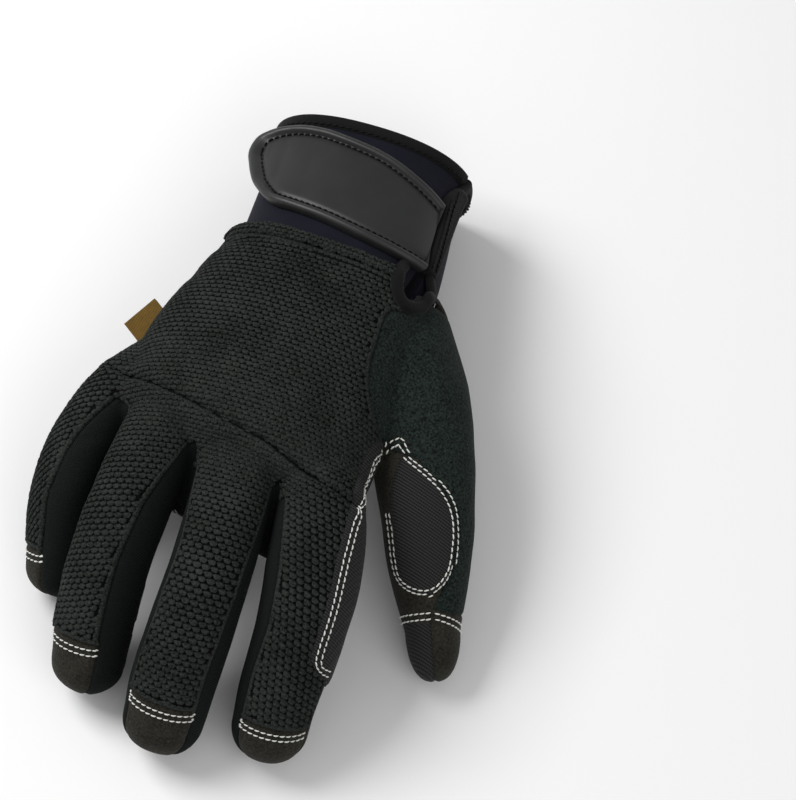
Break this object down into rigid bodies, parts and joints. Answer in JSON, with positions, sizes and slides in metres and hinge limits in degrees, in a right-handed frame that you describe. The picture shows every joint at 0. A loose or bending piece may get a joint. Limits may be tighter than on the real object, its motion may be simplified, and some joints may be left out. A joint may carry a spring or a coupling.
{
  "type": "utility glove",
  "caption": "Right-hand mechanic's glove in black knit, suede and neoprene with a moulded strap tab, filled out and resting palm down.",
  "frame": {"origin": "centre of the bounding box's base, on the surface the glove rests on", "axes": "+Y from the fingertips to the wrist opening, +X towards the thumb, +Z out of the back of the hand"},
  "size_m": [0.1572, 0.2328, 0.0719],
  "materials": {
    "knit": "ribbed knit with raised nubs",
    "smooth_knit": "fine diagonal knit",
    "suede": "short matte nap",
    "twill": "coated, diagonal ribs",
    "fleece": "short pile",
    "neoprene": "matte, fine jersey face",
    "binding": "woven edge tape",
    "strap_rubber": "moulded, satin",
    "label": "woven"
  },
  "bodies": {
    "root": {"side_wall_pinky_ring": "smooth_knit", "side_wall_ring_middle": "smooth_knit", "side_wall_middle_index": "smooth_knit", "cap_pinky": "suede", "cap_ring": "suede", "cap_middle": "suede", "cap_index": "suede", "thumb_fleece": "fleece", "cap_thumb": "suede", "thumb_front": "suede", "back_panel": "knit", "wrist_hem": "knit", "palm_panel": "suede", "tip_patch_pinky": "twill", "mid_patch_pinky": "twill", "tip_patch_ring": "twill", "mid_patch_ring": "twill", "tip_patch_middle": "twill", "mid_patch_middle": "twill", "tip_patch_index": "twill", "mid_patch_index": "twill", "thumb_side_patch": "twill", "web_patch": "twill", "upper_palm_patch": "twill", "outer_palm_patch": "twill", "thumb_ball_patch": "twill", "heel_patch": "twill", "cuff": "neoprene", "cuff_binding": "binding", "strap_tab": "strap_rubber", "strap_base": "binding", "slit_binding": "binding", "side_tag": "label"}
  },
  "joints": []
}
